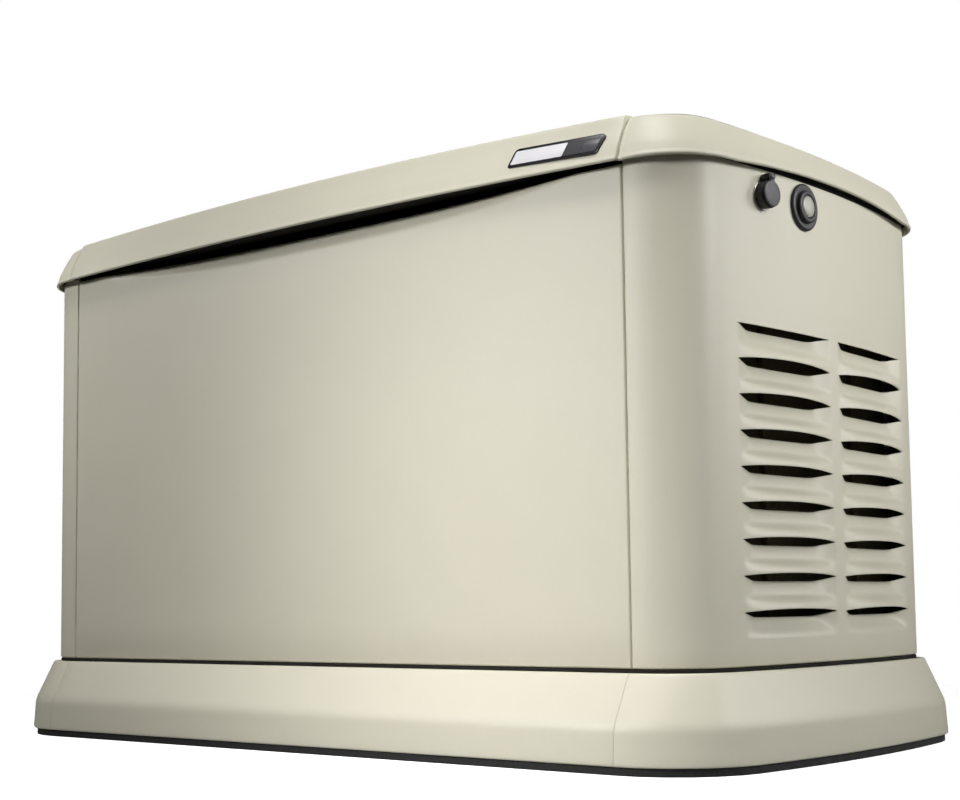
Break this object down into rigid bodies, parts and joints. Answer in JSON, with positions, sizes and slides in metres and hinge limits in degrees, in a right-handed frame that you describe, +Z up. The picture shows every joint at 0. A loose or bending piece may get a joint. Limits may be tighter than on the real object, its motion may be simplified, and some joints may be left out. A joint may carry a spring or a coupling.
{
  "type": "home standby generator",
  "caption": "Air-cooled home standby generator in a louvred aluminium housing with a hinged lid, lift-off front panel, flared skirt, V-twin engine and alternator inside.",
  "frame": {"origin": "centre of the footprint, on the ground under the mounting pad", "axes": "+X to the end with the side lock and status light, -Y to the lift-off front panel, +Z up"},
  "size_m": [1.218, 0.638, 0.732],
  "materials": {
    "cream_paint": "satin powder coat over aluminium sheet",
    "pad": "moulded composite, dark",
    "galvanised": "formed sheet, bright",
    "hardware": "zinc plated",
    "badge": "domed label, blank",
    "rubber": "moulded rubber",
    "black_plastic": "moulded, slight sheen",
    "grey_plastic": "moulded",
    "lens": "frosted lens",
    "exhaust_steel": "aluminised steel, heat stained",
    "black_paint": "satin black enamel",
    "cast_aluminium": "as cast",
    "laminations": "stacked laminations, varnished",
    "copper": "varnished windings",
    "steel_machined": "ground",
    "ceramic": "glazed ceramic",
    "filter_paint": "painted can",
    "yellow_plastic": "moulded",
    "battery_case": "polypropylene",
    "cable": "PVC insulation, red and black",
    "grey_paint": "grey powder coat",
    "green_key": "moulded key",
    "red_key": "moulded key",
    "amber_key": "moulded key",
    "white_plastic": "moulded"
  },
  "bodies": {
    "root": {"mounting_pad": "pad", "base_pan": "galvanised", "skirt_front": "cream_paint", "skirt_rear": "cream_paint", "skirt_left": "cream_paint", "skirt_right": "cream_paint", "rear_panel": "cream_paint", "left_end_panel": "cream_paint", "right_end_panel": "cream_paint", "top_rails": "galvanised", "lid_seal": "rubber", "hinge_fixed_leaves": "hardware", "hinge_pins": "hardware", "lock_bodies": "black_plastic", "status_light_bezel": "black_plastic", "status_light_lens": "lens", "compartment_dividers": "galvanised", "muffler": "exhaust_steel", "exhaust_pipes": "exhaust_steel", "engine_cradle": "black_paint", "vibration_mounts": "rubber", "crankcase": "cast_aluminium", "cylinder_barrels": "cast_aluminium", "cylinder_heads": "cast_aluminium", "rocker_covers": "black_paint", "spark_plugs": "ceramic", "intake_manifold": "cast_aluminium", "air_box": "black_plastic", "oil_filter": "filter_paint", "starter_motor": "black_paint", "blower_housing": "black_paint", "alternator_stator": "laminations", "bearing_carrier": "cast_aluminium", "battery": "battery_case", "battery_tray": "black_plastic", "battery_strap": "black_paint", "battery_cables": "cable", "control_box": "grey_paint", "controller": "black_plastic", "main_breaker": "black_plastic", "fuel_regulator": "cast_aluminium", "fuel_hose": "rubber", "fuel_inlet": "hardware"},
    "front_panel": {"front_panel": "cream_paint"},
    "lid": {"lid": "cream_paint", "lid_badge": "badge", "hinge_lid_leaves": "hardware", "lid_strikers": "hardware"},
    "lock_plug_right": {"lock_plug_right": "hardware"},
    "lock_plug_left": {"lock_plug_left": "hardware"},
    "lock_cover_right": {"lock_cover_right": "grey_plastic"},
    "lock_cover_left": {"lock_cover_left": "grey_plastic"},
    "crank_train": {"crankshaft": "steel_machined", "flywheel_fan": "cast_aluminium", "alternator_rotor": "copper"},
    "dipstick": {"dipstick": "yellow_plastic"},
    "button_auto": {"button_auto": "green_key"},
    "button_off": {"button_off": "red_key"},
    "button_manual": {"button_manual": "amber_key"},
    "breaker_handle": {"breaker_handle": "white_plastic"}
  },
  "joints": [
    {"name": "lid_hinge", "type": "hinge", "parent": "root", "child": "lid", "pos_m": [0, 0.2865, 0.6405], "axis": [-1, 0, 0], "range_deg": [0, 100]},
    {"name": "front_panel_off", "type": "slide", "parent": "root", "child": "front_panel", "axis": [0, -1, 0], "range_m": [0, 0.3]},
    {"name": "lock_turn_right", "type": "hinge", "parent": "root", "child": "lock_plug_right", "pos_m": [0.56853, -0.142, 0.62], "axis": [0.9962, -0.0868, 0], "range_deg": [0, 90]},
    {"name": "lock_turn_left", "type": "hinge", "parent": "root", "child": "lock_plug_left", "pos_m": [-0.56853, -0.142, 0.62], "axis": [0.9962, 0.0868, 0], "range_deg": [0, 90]},
    {"name": "cover_swing_right", "type": "hinge", "parent": "root", "child": "lock_cover_right", "pos_m": [0.56853, -0.142, 0.639], "axis": [0.9962, -0.0868, 0], "range_deg": [-90, 90]},
    {"name": "cover_swing_left", "type": "hinge", "parent": "root", "child": "lock_cover_left", "pos_m": [-0.56853, -0.142, 0.639], "axis": [0.9962, 0.0868, 0], "range_deg": [-90, 90]},
    {"name": "crank_spin", "type": "hinge", "parent": "root", "child": "crank_train", "pos_m": [0, 0, 0.27], "axis": [1, 0, 0], "continuous": true},
    {"name": "dipstick_pull", "type": "slide", "parent": "root", "child": "dipstick", "axis": [0, 0, 1], "range_m": [0, 0.2]},
    {"name": "press_auto", "type": "slide", "parent": "root", "child": "button_auto", "axis": [0, 0.5, -0.866], "range_m": [0, 0.0015], "stiffness_N_per_m": 400, "springref_m": -0.002},
    {"name": "press_off", "type": "slide", "parent": "root", "child": "button_off", "axis": [0, 0.5, -0.866], "range_m": [0, 0.0015], "stiffness_N_per_m": 400, "springref_m": -0.002},
    {"name": "press_manual", "type": "slide", "parent": "root", "child": "button_manual", "axis": [0, 0.5, -0.866], "range_m": [0, 0.0015], "stiffness_N_per_m": 400, "springref_m": -0.002},
    {"name": "breaker_toggle", "type": "hinge", "parent": "root", "child": "breaker_handle", "pos_m": [0.372, -0.01, 0.425], "axis": [1, 0, 0], "range_deg": [0, 50]}
  ]
}
